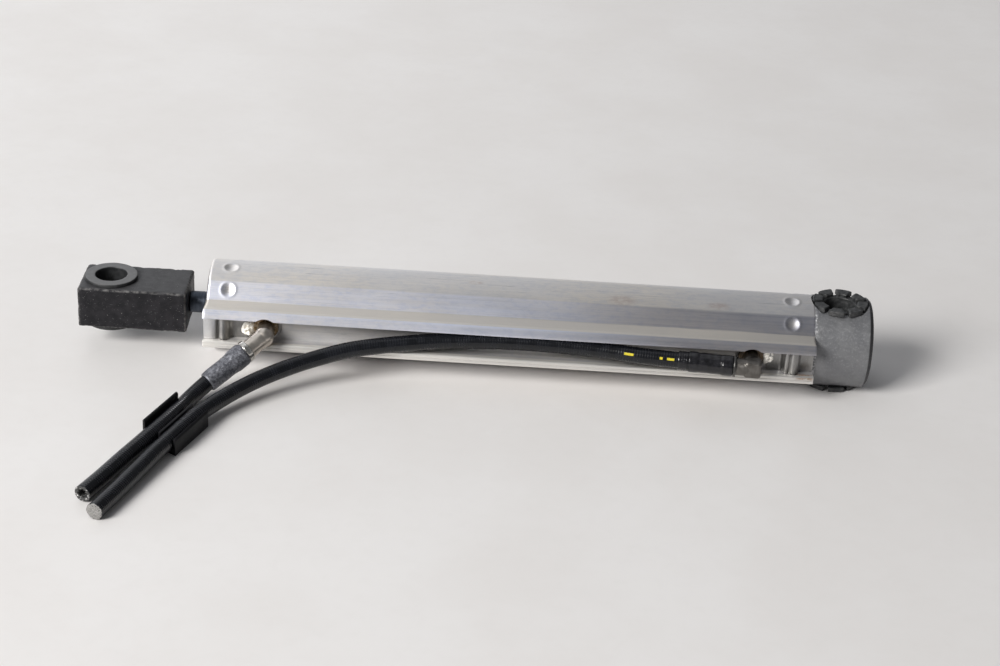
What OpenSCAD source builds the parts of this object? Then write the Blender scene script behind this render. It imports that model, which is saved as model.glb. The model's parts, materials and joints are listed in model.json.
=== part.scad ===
// Double-acting hydraulic linear actuator.
// Frame: origin at the centre of the base eye, +X along the cylinder away
// from the rod end, -Y towards the hose channel, +Z up along both eye bores.

/* [Barrel] */
// Outer radius of the extruded barrel
barrel_r = 17.2; // [17:0.1:17.6]
// Bore radius of the barrel
bore_r = 14; // [13.95:0.01:14.05]
// Length of the barrel extrusion
barrel_len = 232; // [228:0.5:240]
// Depth of the front edge of the hose channel, measured from the bore axis
channel_front = 24.1; // [23.6:0.1:25]
// Depth of the back wall of the hose channel, measured from the bore axis
channel_back = 17.5; // [17.4:0.05:17.6]

/* [Rod] */
// Radius of the piston rod
rod_r = 4.15; // [4.1:0.05:4.2]
// Length of the piston
piston_len = 20; // [18:0.5:20]

/* [Eyes] */
// Radius of the pin bore in both eyes
pin_r = 6; // [5.9:0.05:6.1]
// Radius of the rod-end bush flange
flange_r = 10.15; // [9:0.05:10.2]
// Thickness of the rod-end bush flange
flange_t = 1.45; // [1:0.05:2]
// Length of the rod-end block
block_len = 41.7; // [40:0.1:43]
// Width of the rod-end block
block_w = 22.5; // [21:0.1:24]
// Height of the rod-end block
block_h = 16.6; // [15:0.1:18]
// Height of the spot faces on the base cap above its centre
cap_flat = 15.2; // [15:0.1:15.4]
// Radius of the castellated collars in the base eye
collar_r = 10.7; // [10.5:0.1:10.8]
// Height of the top of the castellated collars above the centre
collar_top = 17.4; // [17:0.1:17.6]

/* [Hoses] */
// Outer radius of the hoses
hose_r = 3.1; // [2.8:0.05:3.12]
// Number of sides of the hose tubes
hose_sides = 10; // [8:1:12]

/* [Hidden] */
$fn = 64;

x_base = -10.1;                      // barrel end at the base cap
x_rod = x_base - barrel_len;         // barrel end at the rod side
x_eye = -280.8;                      // rod-end eye axis
x_block = -250.3;                    // inner face of the rod-end block
x_port_f = -218.5;                   // port near the rod end
x_port_r = -34;                      // port near the base
x_stake_f = -233.9;                  // stake ring over the gland
x_stake_r = -18.7;                   // stake ring over the cap spigot
x_pist = -40;                        // rear face of the piston, retracted
port_z = 0.4;
elbow_r = 3.25;
lip_z = 5.1;                         // underside of the upper lip
floor_z = -4.8;                      // floor of the channel
stakes = [9, 45, -27, -63, -99, -135, -171, 153];

// outlet axes of the two elbows: a point on the stem axis and a direction
k_f = [x_port_f, -27.5, port_z];
d_f = unit([-18.9, -16.4, -11.9]);
k_r = [x_port_r, -28, port_z];
d_r = unit([-0.995, 0.1, 0]);

short_route = [k_f + d_f*11.6, k_f + d_f*20, k_f + d_f*27.7,
    [-240.2, -47.6, -13], [-242.7, -53.0, -13.8], [-244.3, -58.5, -13.7],
    [-246.1, -65.3, -13.2], [-248.7, -73.1, -13.1], [-251.7, -81.1, -13.1],
    [-254.7, -88.9, -13.2], [-258.8, -98.9, -13.5], [-263.4, -110.4, -14],
    [-268.2, -122, -14.3]];
long_route = [k_r + d_r*9.2, k_r + d_r*18, k_r + d_r*28,
    [-76.3, -23.9, 0.6], [-91.5, -21.9, 1], [-110.5, -21, 1.5],
    [-129.4, -20.9, 1.5], [-148.3, -21.7, 0.8], [-167.1, -23.9, -0.6],
    [-185.6, -27.8, -2.4], [-196.6, -31.3, -4.5], [-207.3, -36.1, -6.7],
    [-217.6, -42.6, -8.9], [-225.9, -50, -10.7], [-232.4, -57.8, -12],
    [-237.8, -66.5, -12.7], [-241.4, -74.8, -13.1], [-244.6, -83.7, -13.1],
    [-248.1, -93.1, -13.3], [-252.3, -105.3, -13.7], [-257, -118.9, -14.1],
    [-262, -132.8, -14.3]];

function unit(v) = v/norm(v);
function arc(cx, cy, r, a0, a1, n) =
    [for (i = [0:n]) let (a = a0 + (a1 - a0)*i/n) [cx + r*cos(a), cy + r*sin(a)]];
function reverse(p) = [for (i = [len(p)-1:-1:0]) p[i]];
function perp(v) = [-v[1], v[0]];
function tangent(p, i) =
    i == 0 ? unit(p[1] - p[0]) :
    i == len(p)-1 ? unit(p[i] - p[i-1]) :
    unit(unit(p[i+1] - p[i]) + unit(p[i] - p[i-1]));
function side_path(p, d) = [for (i = [0:len(p)-1]) p[i] + perp(tangent(p, i))*d];
function ring_side(t) = unit(cross(t, [0, 0, 1]));

// solid of revolution about X from [radius, x] points
module rev_x(pts) { rotate([0, 90, 0]) rotate_extrude() polygon(pts); }
// prism along X of a [y, z] outline
module prism_x(x0, len, pts) {
    translate([x0, 0, 0]) rotate([90, 0, 90]) linear_extrude(len) polygon(pts);
}
// ring tube
module tube(r0, r1, h) {
    difference() { cylinder(h = h, r = r1); translate([0, 0, -1]) cylinder(h = h + 2, r = r0); }
}
// places children with their Z axis along direction d, starting at point p
module along(p, d) {
    translate(p) rotate(a = acos(d[2]), v = [-d[1], d[0], 0]) children();
}
// closed tube swept through the points of a route
module sweep(route, r, n) {
    m = len(route);
    pts = [for (i = [0:m-1]) let (t = tangent(route, i), s = ring_side(t), u = cross(s, t))
        for (k = [0:n-1]) route[i] + r*(cos(360*k/n)*s + sin(360*k/n)*u)];
    walls = [for (i = [0:m-2]) for (k = [0:n-1]) let (k2 = (k+1)%n)
        [i*n + k, (i+1)*n + k, (i+1)*n + k2, i*n + k2]];
    polyhedron(pts, concat([[for (k = [0:n-1]) k]], walls,
        [[for (k = [n-1:-1:0]) (m-1)*n + k]]), convexity = 6);
}

// outline of the hose channel rails, [y, z]
channel_outline = concat(
    [[-12, 9], [-14.8, 8.62], [-19.5, 7.75]],
    arc(-21.1, 4.9, 3.05, 78, 172, 8),
    [[-channel_front, lip_z], [-channel_back, lip_z],
     [-channel_back, floor_z], [-22.3, floor_z], [-22.5, -4.4],
     [-22.9, -4.3], [-23.8, -4.3], [-channel_front, -4.6],
     [-channel_front, -5.5], [-23.85, -5.7], [-channel_front, -5.9],
     [-channel_front, -6.8], [-23.7, -7.2], [-22.6, -7.3], [-14.8, -8.62], [-12, -9]]);

module barrel() {
    color("silver") difference() {
        union() {
            difference() {
                union() {
                    translate([x_rod, 0, 0]) rotate([0, 90, 0]) cylinder(h = barrel_len, r = barrel_r);
                    prism_x(x_rod, barrel_len, channel_outline);
                }
                translate([x_rod - 1, 0, 0]) rotate([0, 90, 0]) cylinder(h = barrel_len + 2, r = bore_r);
                // flats that run from the crown down to the rails
                for (s = [1, -1]) prism_x(x_rod - 1, barrel_len + 2,
                    [[-9.62, 14.26*s], [-14.9, 8.6*s], [-17.1, 10.65*s], [-11.8, 16.3*s]]);
            }
            // stakes pressed into the gland and cap grooves
            for (x = [x_stake_f, x_stake_r], a = stakes)
                translate([x, -14.2*sin(a), 14.2*cos(a)]) sphere(r = 1.1);
        }
        // dimples left by the staking punch
        for (x = [x_stake_f, x_stake_r], a = stakes)
            let (o = a == 45 ? 20.35 : 20.8)
            translate([x, -o*sin(a), o*cos(a)]) sphere(r = 4.5);
        // ports and their spot faces
        for (x = [x_port_f, x_port_r]) translate([x, 0, port_z]) {
            translate([0, -12, 0]) rotate([90, 0, 0]) cylinder(h = 12, r = 3.3);
            translate([0, -17.3, 0]) rotate([90, 0, 0]) cylinder(h = 12, r = 5.8);
        }
        // the spot faces of the eye run a little way into the end of the barrel
        for (s = [cap_flat, -cap_flat - 10]) translate([0, 0, s]) cylinder(h = 10, r = 11.2);
    }
}

module base_cap() {
    color("dimgray") difference() {
        union() {
            rev_x([[0, -29], [8.4, -29], [8.4, x_pist + 0.02], [12, x_pist + 0.02],
                [12, -27.9], [13.96, -27.9], [13.96, -26.3], [12, -26.3], [12, -23.1],
                [13.96, -23.1], [13.96, x_stake_r - 2.5], [12.8, x_stake_r - 2.5],
                [12.8, x_stake_r + 2.5], [13.96, x_stake_r + 2.5], [13.96, x_base],
                [17.4, x_base], [17.4, 10.9], [16, 12.3], [0, 12.3]]);
        }
        // eye bore and the spot faces that seat the bushes
        translate([0, 0, -20]) cylinder(h = 40, r = 7.5);
        translate([0, 0, cap_flat]) cylinder(h = 10, r = 11.2);
        translate([0, 0, -cap_flat - 10]) cylinder(h = 10, r = 11.2);
        // oil way through the nose
        translate([x_port_r, -6, port_z]) rotate([90, 0, 0]) cylinder(h = 8, r = 2);
    }
}

module o_ring(x) {
    rotate([0, 90, 0]) translate([0, 0, x]) rotate_extrude() translate([12.99, 0]) circle(r = 0.95);
}
module base_cap_o_ring() { color("black") o_ring(-24.7); }
module gland_o_ring() { color("black") o_ring(-228); }

// castellated plastic bush with its collar up: a sleeve and eight separate lobes
module base_bush(turn) {
    rotate_extrude() polygon([[pin_r, 0.1], [7.48, 0.1], [7.48, cap_flat],
        [8.2, cap_flat], [8.2, cap_flat + 0.5], [pin_r, cap_flat + 0.5]]);
    difference() {
        rotate_extrude() polygon([[6.4, cap_flat], [collar_r - 0.3, cap_flat],
            [collar_r, cap_flat + 0.3], [collar_r, collar_top - 0.3],
            [collar_r - 0.3, collar_top], [6.9, collar_top], [6.4, collar_top - 0.5]]);
        for (a = [0:45:179]) rotate([0, 0, turn + a])
            translate([-15, -0.8, cap_flat - 1]) cube([30, 1.6, 10]);
    }
}
module base_bush_upper() { color([0.08, 0.08, 0.09]) base_bush(9); }
module base_bush_lower() { color([0.08, 0.08, 0.09]) mirror([0, 0, 1]) base_bush(30); }

module gland() {
    color("gainsboro") rev_x([[9, -240.6], [13.96, -240.6], [13.96, x_stake_f - 2.5],
        [12.8, x_stake_f - 2.5], [12.8, x_stake_f + 2.5], [13.96, x_stake_f + 2.5],
        [13.96, -229.6], [12, -229.6], [12, -226.4], [13.96, -226.4], [13.96, -224.5],
        [12, -224.5], [12, -210.2], [8.2, -210.2], [8.2, -224], [rod_r + 0.3, -224],
        [rod_r + 0.3, -226.6], [10, -226.6], [10, -231], [rod_r + 0.3, -231],
        [rod_r + 0.3, -237], [9, -237]]);
}
module gland_bearing() {
    color("darkgoldenrod") translate([-223.9, 0, 0]) rotate([0, 90, 0]) tube(rod_r + 0.05, 8.18, 13.6);
}
module rod_seal() {
    color("darkslateblue") rev_x([[rod_r + 0.03, -230.8], [9.97, -230.8], [9.97, -226.8],
        [9.1, -226.8], [8.5, -228.7], [7.9, -226.8], [rod_r + 0.03, -226.8]]);
}
module rod_wiper() {
    color("black") rev_x([[7.4, -237.1], [8.97, -237.1], [8.97, -240.5], [8, -240.5],
        [7.5, -241.6], [rod_r + 0.05, -241.6], [rod_r + 0.05, -240.6], [7.4, -239.8]]);
}

// bent strip standing in the channel, drawn from its centre line
module channel_strip(path, t) {
    translate([0, 0, -4.6]) linear_extrude(9.5)
        polygon(concat(side_path(path, t/2), reverse(side_path(path, -t/2))));
}
module rod_end_channel_clip() {
    color("lightgray") channel_strip([[-242, -20.9], [-238.3, -20.9], [-237.4, -20.5],
        [-236.8, -20.1], [-236.2, -20.6], [-235.5, -21.6], [-234.6, -22], [-233.7, -21.6],
        [-233, -20.6], [-232.5, -19.4], [-231.8, -18.4], [-230.8, -18.05], [-225.4, -18.05]], 0.8);
}
module base_end_channel_clip() {
    color("lightgray") channel_strip([[-27.6, -18.05], [-22.9, -18.05], [-22.1, -18.5],
        [-21.5, -19.6], [-20.9, -20.7], [-20.2, -21], [-19.6, -20.6], [-19.1, -21.1],
        [-18.4, -21.8], [-17.5, -22], [-16.7, -21.5], [-16.2, -20.4], [-15.8, -19.2],
        [-15.2, -18.3], [-14.2, -18.05], [-10.2, -18.05]], 0.8);
}

module piston_rod() {
    color("slategray") rev_x([[0, -266.8], [2.8, -266.8], [3.4, -266.2], [3.4, x_block],
        [rod_r - 0.4, x_block], [rod_r, x_block + 0.4], [rod_r, x_pist - piston_len],
        [3.4, x_pist - piston_len], [3.4, x_pist], [3, x_pist], [3, -33.2], [2.4, -32.6], [0, -32.6]]);
}
module piston() {
    p0 = x_pist - piston_len;
    color("silver") rev_x([[3.43, p0], [13.3, p0], [13.8, p0 + 0.5], [13.8, p0 + 1.5],
        [12.3, p0 + 1.5], [12.3, p0 + 4.5], [13.8, p0 + 4.5], [13.8, p0 + 7], [10.5, p0 + 7],
        [10.5, p0 + 13], [13.8, p0 + 13], [13.8, p0 + 15.5], [12.3, p0 + 15.5],
        [12.3, p0 + 18.5], [13.8, p0 + 18.5], [13.8, p0 + 19.5], [13.3, p0 + 20],
        [3.43, p0 + 20], [3.43, p0 + 11.4], [4.9, p0 + 11.4], [4.9, p0 + 8.6], [3.43, p0 + 8.6]]);
}
module piston_o_ring() {
    color("black") rotate([0, 90, 0]) translate([0, 0, x_pist - 10])
        rotate_extrude() translate([4.16, 0]) circle(r = 0.71);
}
module piston_seal() {
    color("darkslateblue") translate([x_pist - 12.9, 0, 0]) rotate([0, 90, 0]) tube(10.56, 13.95, 5.8);
}
module piston_guide_ring_front() {
    color("saddlebrown") translate([x_pist - 18.4, 0, 0]) rotate([0, 90, 0]) tube(12.36, 13.95, 2.8);
}
module piston_guide_ring_rear() {
    color("saddlebrown") translate([x_pist - 4.4, 0, 0]) rotate([0, 90, 0]) tube(12.36, 13.95, 2.8);
}
module piston_nut() {
    color("gray") difference() {
        translate([x_pist, 0, 0]) rotate([0, 90, 0]) cylinder(h = 6.4, r = 7.5, $fn = 6);
        translate([x_pist - 1, 0, 0]) rotate([0, 90, 0]) cylinder(h = 9, r = 3.02);
    }
}

module rod_end_block() {
    x0 = x_block - block_len;
    w = block_w/2;
    h = block_h/2;
    c = 0.8;
    color([0.15, 0.15, 0.16]) difference() {
        intersection() {
            prism_x(x0, block_len, [[-w + c, -h], [w - c, -h], [w, -h + c], [w, h - c],
                [w - c, h], [-w + c, h], [-w, h - c], [-w, -h + c]]);
            translate([0, 0, -h - 1]) linear_extrude(block_h + 2)
                polygon([[x0 + c, -w], [x_block - c, -w], [x_block, -w + c], [x_block, w - c],
                    [x_block - c, w], [x0 + c, w], [x0, w - c], [x0, -w + c]]);
            translate([0, w + 1, 0]) rotate([90, 0, 0]) linear_extrude(block_w + 2)
                polygon([[x0 + c, -h], [x_block - c, -h], [x_block, -h + c], [x_block, h - c],
                    [x_block - c, h], [x0 + c, h], [x0, h - c], [x0, -h + c]]);
        }
        translate([x_eye, 0, -h - 2]) cylinder(h = block_h + 4, r = 7);
        translate([-268, 0, 0]) rotate([0, 90, 0]) cylinder(h = 20, r = 3.43);
    }
}
module rod_end_bush() {
    translate([x_eye, 0, 0]) rotate_extrude() polygon([[pin_r, 0.1], [6.98, 0.1],
        [6.98, block_h/2], [flange_r, block_h/2], [flange_r, block_h/2 + flange_t - 0.25],
        [flange_r - 0.25, block_h/2 + flange_t], [pin_r, block_h/2 + flange_t]]);
}
module rod_end_bush_upper() { color([0.2, 0.21, 0.21]) rod_end_bush(); }
module rod_end_bush_lower() { color([0.2, 0.21, 0.21]) mirror([0, 0, 1]) rod_end_bush(); }

// elbow fitting: stem along -Y from the bore wall to k, outlet from k along d
module elbow(k, d, out, nip, leg, ball) {
    difference() {
        union() {
            translate([k[0], -14.4, k[2]]) rotate([90, 0, 0]) cylinder(h = -14.4 - k[1], r = elbow_r);
            translate(k) sphere(r = ball);
            along(k, d) cylinder(h = out, r = leg);
            along(k, d) cylinder(h = nip, r = 2.2);
        }
        translate([k[0], -13, k[2]]) rotate([90, 0, 0]) cylinder(h = -13 - k[1], r = 1.4);
        translate(k) sphere(r = 1.45);
        along(k, d) cylinder(h = nip + 2, r = 1.4);
        translate([k[0], -15.2, k[2]]) rotate([90, 0, 0]) tube(2.4, 5, 1.4);
    }
}
module port_o_ring(k) {
    translate([k[0], -15.9, k[2]]) rotate([90, 0, 0])
        rotate_extrude() translate([2.85, 0]) circle(r = 0.43);
}
module front_port_elbow() { color([0.62, 0.58, 0.53]) elbow(k_f, d_f, 9.6, 11.5, 3.5, 3.9); }
module front_port_o_ring() { color("black") port_o_ring(k_f); }
module front_hose_collar() {
    color("silver") along(k_f + d_f*7.4, d_f) tube(3.53, 4.3, 2.2);
}
module front_hose_ferrule() {
    color([0.25, 0.25, 0.27]) along(k_f, d_f) rotate_extrude()
        polygon([[3.14, 9.7], [4.2, 9.7], [4.45, 10.5], [4.4, 14.5], [4.1, 17],
            [3.85, 27], [3.65, 27.4], [3.14, 27.4]]);
}
module short_hose() { color([0.09, 0.09, 0.1]) sweep(short_route, hose_r, hose_sides); }

module rear_port_elbow() { color([0.5, 0.5, 0.5]) elbow(k_r, d_r, 7.2, 9.1, elbow_r, elbow_r + 0.1); }
module rear_port_o_ring() { color("black") port_o_ring(k_r); }
module rear_hose_collar() {
    color("silver") along(k_r + d_r*6.2, d_r) tube(3.28, 4.15, 0.95);
}
module rear_hose_ferrule() {
    color([0.12, 0.12, 0.13]) along(k_r, d_r) rotate_extrude()
        polygon([[3.14, 7.25], [3.7, 7.25], [4, 7.7], [4, 11], [3.8, 12], [3.8, 20],
            [3.95, 21], [3.95, 24], [3.14, 24]]);
}
module rear_hose_sleeve() {
    color([0.08, 0.08, 0.08]) along(k_r, d_r) rotate_extrude()
        polygon([[3.14, 24.05], [3.75, 24.05], [3.75, 27.4], [3.6, 28], [3.14, 28]]);
}
module long_hose() { color([0.09, 0.09, 0.1]) sweep(long_route, hose_r, hose_sides); }

// twin hose clip: floor and three walls, two open-topped channels, ends cut askew
module hose_clip() {
    u = unit([-0.35, -0.937, 0]);
    n = [0.9367, -0.3499, 0];
    // outline across the hoses: first coordinate grows towards the short hose
    outline = concat([[-7.95, -17.4], [8.1, -17.4], [8.1, -9], [7.2, -9], [6.9, -9.6]],
        arc(3.75, -13.1, 3.16, 0, -180, 12), [[0.55, -10.9], [-0.55, -10.9]],
        arc(-3.75, -13.1, 3.16, 0, -180, 12), [[-6.7, -11.1], [-7.2, -10.7], [-7.95, -11.3]]);
    color([0.06, 0.06, 0.07]) translate(143.5*u - 203.65*n)
        rotate([0, 0, atan2(u[1], u[0])]) intersection() {
            translate([-6, 0, 0]) rotate([90, 0, 90]) linear_extrude(32)
                polygon([for (p = outline) [-p[0], p[1]]]);
            translate([0, 0, -18]) linear_extrude(12)
                polygon([[-4.9, -9], [0.3, 9], [24.3, 9], [19.1, -9]]);
        }
}

barrel();
base_cap();
base_cap_o_ring();
base_bush_upper();
base_bush_lower();
gland();
gland_o_ring();
gland_bearing();
rod_seal();
rod_wiper();
rod_end_channel_clip();
base_end_channel_clip();
piston_rod();
piston();
piston_o_ring();
piston_seal();
piston_guide_ring_front();
piston_guide_ring_rear();
piston_nut();
rod_end_block();
rod_end_bush_upper();
rod_end_bush_lower();
front_port_elbow();
front_port_o_ring();
front_hose_collar();
front_hose_ferrule();
short_hose();
rear_port_elbow();
rear_port_o_ring();
rear_hose_collar();
rear_hose_ferrule();
rear_hose_sleeve();
long_hose();
hose_clip();
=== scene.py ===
"""Looks of the hydraulic linear actuator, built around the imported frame."""
import json
import math

import bmesh
import bpy
import numpy as np
from mathutils import Matrix, Vector, noise


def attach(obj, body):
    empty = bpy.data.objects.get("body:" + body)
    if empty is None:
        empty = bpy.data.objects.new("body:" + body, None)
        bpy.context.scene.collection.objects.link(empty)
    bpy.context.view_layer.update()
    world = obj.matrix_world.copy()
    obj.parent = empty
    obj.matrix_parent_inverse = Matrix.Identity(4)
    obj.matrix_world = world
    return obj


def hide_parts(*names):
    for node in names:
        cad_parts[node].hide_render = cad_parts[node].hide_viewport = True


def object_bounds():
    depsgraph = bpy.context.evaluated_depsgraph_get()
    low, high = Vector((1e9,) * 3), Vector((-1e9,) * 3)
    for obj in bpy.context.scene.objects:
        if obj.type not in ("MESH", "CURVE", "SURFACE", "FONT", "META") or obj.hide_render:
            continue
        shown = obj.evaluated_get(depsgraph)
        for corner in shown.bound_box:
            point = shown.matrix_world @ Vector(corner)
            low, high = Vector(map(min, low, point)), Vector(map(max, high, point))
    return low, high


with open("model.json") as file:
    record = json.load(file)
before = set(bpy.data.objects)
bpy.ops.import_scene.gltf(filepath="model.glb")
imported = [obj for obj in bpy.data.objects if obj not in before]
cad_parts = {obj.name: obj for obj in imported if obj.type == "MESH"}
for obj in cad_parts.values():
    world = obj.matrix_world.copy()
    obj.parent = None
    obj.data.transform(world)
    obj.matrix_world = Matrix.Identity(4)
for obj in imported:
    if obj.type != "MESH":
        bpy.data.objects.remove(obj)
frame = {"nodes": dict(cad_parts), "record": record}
cad_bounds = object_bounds()
MM = 0.001
scene = bpy.context.scene
scene.view_settings.view_transform = "Standard"
scene.view_settings.look = "None"


# ---------------------------------------------------------------- camera
def make_camera():
    az, el, roll = (math.radians(a) for a in (0.261, 27.183, 3.383))
    target = Vector((-129.72, 0, -5.64)) * MM
    back = Vector((math.sin(az) * math.cos(el), -math.cos(az) * math.cos(el), math.sin(el)))
    right = (-back).cross(Vector((0, 0, 1))).normalized()
    up = right.cross(-back)
    r = right * math.cos(roll) + up * math.sin(roll)
    u = up * math.cos(roll) - right * math.sin(roll)
    data = bpy.data.cameras.new("camera")
    data.lens, data.sensor_width = 78.71, 36
    data.clip_start, data.clip_end = 0.05, 20
    cam = bpy.data.objects.new("camera", data)
    scene.collection.objects.link(cam)
    m = Matrix((r, u, back)).transposed().to_4x4()
    m.translation = target + back * 0.8503
    cam.matrix_world = m
    scene.camera = cam


make_camera()

# ---------------------------------------------------------------- dimensions, mm
X_BASE, X_ROD, X_EYE, X_BLOCK = -10.1, -242.1, -280.8, -250.3
PORTS = (-218.5, -34.0)
STAKE_X = (-233.9, -18.7)
STAKES = (9, 45, -27, -63, -99, -135, -171, 153)
K_F, D_F = Vector((-218.5, -27.5, 0.4)), Vector((-18.9, -16.4, -11.9)).normalized()
K_R, D_R = Vector((-34, -28, 0.4)), Vector((-0.995, 0.1, 0)).normalized()
SHORT = [K_F + D_F * 11.6, K_F + D_F * 20, K_F + D_F * 27.7] + [Vector(p) for p in (
    (-240.2, -47.6, -13), (-242.7, -53.0, -13.8), (-244.3, -58.5, -13.7),
    (-246.1, -65.3, -13.2), (-248.7, -73.1, -13.1), (-251.7, -81.1, -13.1),
    (-254.7, -88.9, -13.2), (-258.8, -98.9, -13.5), (-263.4, -110.4, -14), (-268.2, -122, -14.3))]
LONG = [K_R + D_R * 9.2, K_R + D_R * 18, K_R + D_R * 28] + [Vector(p) for p in (
    (-76.3, -23.9, 0.6), (-91.5, -21.9, 1), (-110.5, -21, 1.5), (-129.4, -20.9, 1.5),
    (-148.3, -21.7, 0.8), (-167.1, -23.9, -0.6), (-185.6, -27.8, -2.4), (-196.6, -31.3, -4.5),
    (-207.3, -36.1, -6.7), (-217.6, -42.6, -8.9), (-225.9, -50, -10.7), (-232.4, -57.8, -12),
    (-237.8, -66.5, -12.7), (-241.4, -74.8, -13.1), (-244.6, -83.7, -13.1), (-248.1, -93.1, -13.3),
    (-252.3, -105.3, -13.7), (-257, -118.9, -14.1), (-262, -132.8, -14.3))]


# ---------------------------------------------------------------- shape helpers
def fillet(pts, rad, n=5, closed=True):
    """Rounds the corners of a polyline in two or three dimensions."""
    out, m = [], len(pts)
    for i in range(m):
        p = np.array(pts[i], float)
        r = rad[i] if hasattr(rad, "__len__") else rad
        if r <= 0 or (not closed and i in (0, m - 1)):
            out.append(tuple(p))
            continue
        u, v = np.array(pts[i - 1], float) - p, np.array(pts[(i + 1) % m], float) - p
        lu, lv = np.linalg.norm(u), np.linalg.norm(v)
        u, v = u / lu, v / lv
        ang = math.acos(max(-1, min(1, float(u @ v))))
        if ang > math.radians(174):
            out.append(tuple(p))
            continue
        t = min(r / math.tan(ang / 2), lu * 0.48, lv * 0.48)
        rr = t * math.tan(ang / 2)
        c = p + (u + v) / np.linalg.norm(u + v) * (rr / math.sin(ang / 2))
        a0, a1 = p + u * t - c, p + v * t - c
        th = math.acos(max(-1, min(1, float(a0 @ a1) / (rr * rr))))
        for j in range(n + 1):
            s = j / n
            out.append(tuple(c + (math.sin((1 - s) * th) * a0 + math.sin(s * th) * a1) / math.sin(th)))
    return out


def split(pts, step, closed=True):
    """Adds points so that no segment is longer than step."""
    out, m = [], len(pts)
    for i in range(m if closed else m - 1):
        a, b = np.array(pts[i], float), np.array(pts[(i + 1) % m], float)
        k = max(1, math.ceil(np.linalg.norm(b - a) / step - 1e-6))
        out += [tuple(a + (b - a) * j / k) for j in range(k)]
    return out if closed else out + [tuple(pts[-1])]


def smooth_path(pts, step):
    """Centripetal Catmull-Rom curve through the points, resampled evenly."""
    P = [np.array(p, float) for p in pts]
    P = [2 * P[0] - P[1]] + P + [2 * P[-1] - P[-2]]
    fine = []
    for i in range(1, len(P) - 2):
        t = [0.0]
        for a, b in zip(P[i - 1:i + 2], P[i:i + 3]):
            t.append(t[-1] + max(np.linalg.norm(b - a), 1e-6) ** 0.5)
        for s in np.linspace(t[1], t[2], 24, endpoint=False):
            A = [P[i - 1 + k] * (t[k + 1] - s) / (t[k + 1] - t[k]) + P[i + k] * (s - t[k]) / (t[k + 1] - t[k]) for k in range(3)]
            B = [A[k] * (t[k + 2] - s) / (t[k + 2] - t[k]) + A[k + 1] * (s - t[k]) / (t[k + 2] - t[k]) for k in range(2)]
            fine.append(B[0] * (t[2] - s) / (t[2] - t[1]) + B[1] * (s - t[1]) / (t[2] - t[1]))
    fine = np.array(fine + [P[-2]])
    d = np.r_[0, np.cumsum(np.linalg.norm(np.diff(fine, axis=0), axis=1))]
    n = max(2, int(round(d[-1] / step)))
    q = np.linspace(0, d[-1], n + 1)
    return [Vector([float(np.interp(x, d, fine[:, k])) for k in range(fine.shape[1])]) for x in q]


def finish_mesh(ob, angle=35):
    bm = bmesh.new()
    bm.from_mesh(ob.data)
    bmesh.ops.remove_doubles(bm, verts=bm.verts, dist=2e-7)
    bmesh.ops.dissolve_degenerate(bm, edges=bm.edges, dist=1e-7)
    bmesh.ops.recalc_face_normals(bm, faces=bm.faces)
    lim = math.radians(angle)
    for f in bm.faces:
        f.smooth = True
    for e in bm.edges:
        e.smooth = len(e.link_faces) == 2 and e.calc_face_angle(0) < lim
    bm.to_mesh(ob.data)
    bm.free()
    return ob


def make(name, verts, faces):
    me = bpy.data.meshes.new(name)
    me.from_pydata([Vector(v) * MM for v in verts], [], faces)
    ob = bpy.data.objects.new(name, me)
    scene.collection.objects.link(ob)
    return ob


def applied(ob):
    """Bakes the object's modifiers into its mesh."""
    dg = bpy.context.evaluated_depsgraph_get()
    me = bpy.data.meshes.new_from_object(ob.evaluated_get(dg))
    ob.modifiers.clear()
    old, ob.data = ob.data, me
    bpy.data.meshes.remove(old)
    return ob


def cut(ob, cutter, op="DIFFERENCE"):
    finish_mesh(cutter)
    mod = ob.modifiers.new("cut", "BOOLEAN")
    mod.operation, mod.object, mod.solver = op, cutter, "EXACT"
    applied(ob)
    me = cutter.data
    bpy.data.objects.remove(cutter)
    bpy.data.meshes.remove(me)
    return ob


def bevelled(ob, width, seg=3, angle=30):
    mod = ob.modifiers.new("edge", "BEVEL")
    mod.width, mod.segments, mod.limit_method = width * MM, seg, "ANGLE"
    mod.angle_limit, mod.use_clamp_overlap = math.radians(angle), True
    return applied(ob)


def basis(d):
    d = Vector(d).normalized()
    a = Vector((0, 0, 1)) if abs(d.z) < 0.9 else Vector((1, 0, 0))
    e1 = a.cross(d).normalized()
    return e1, d.cross(e1), d


def lathe(name, prof, p=(0, 0, 0), d=(1, 0, 0), n=96, closed=True):
    """Solid of revolution of [radius, distance] points about direction d through p."""
    e1, e2, e3 = basis(d)
    p = Vector(p)
    ring = [e1 * math.cos(2 * math.pi * k / n) + e2 * math.sin(2 * math.pi * k / n) for k in range(n)]
    verts = [p + e3 * t + w * r for r, t in prof for w in ring]
    m = len(prof)
    faces = [(i * n + k, (i + 1) % m * n + k, (i + 1) % m * n + (k + 1) % n, i * n + (k + 1) % n)
             for i in range(m if closed else m - 1) for k in range(n)]
    ob = make(name, verts, faces)
    return finish_mesh(ob)


def rod_between(name, p, d, r, h, n=96):
    return lathe(name, [(0, 0), (r, 0), (r, h), (0, h)], p, d, n, closed=False)


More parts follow.
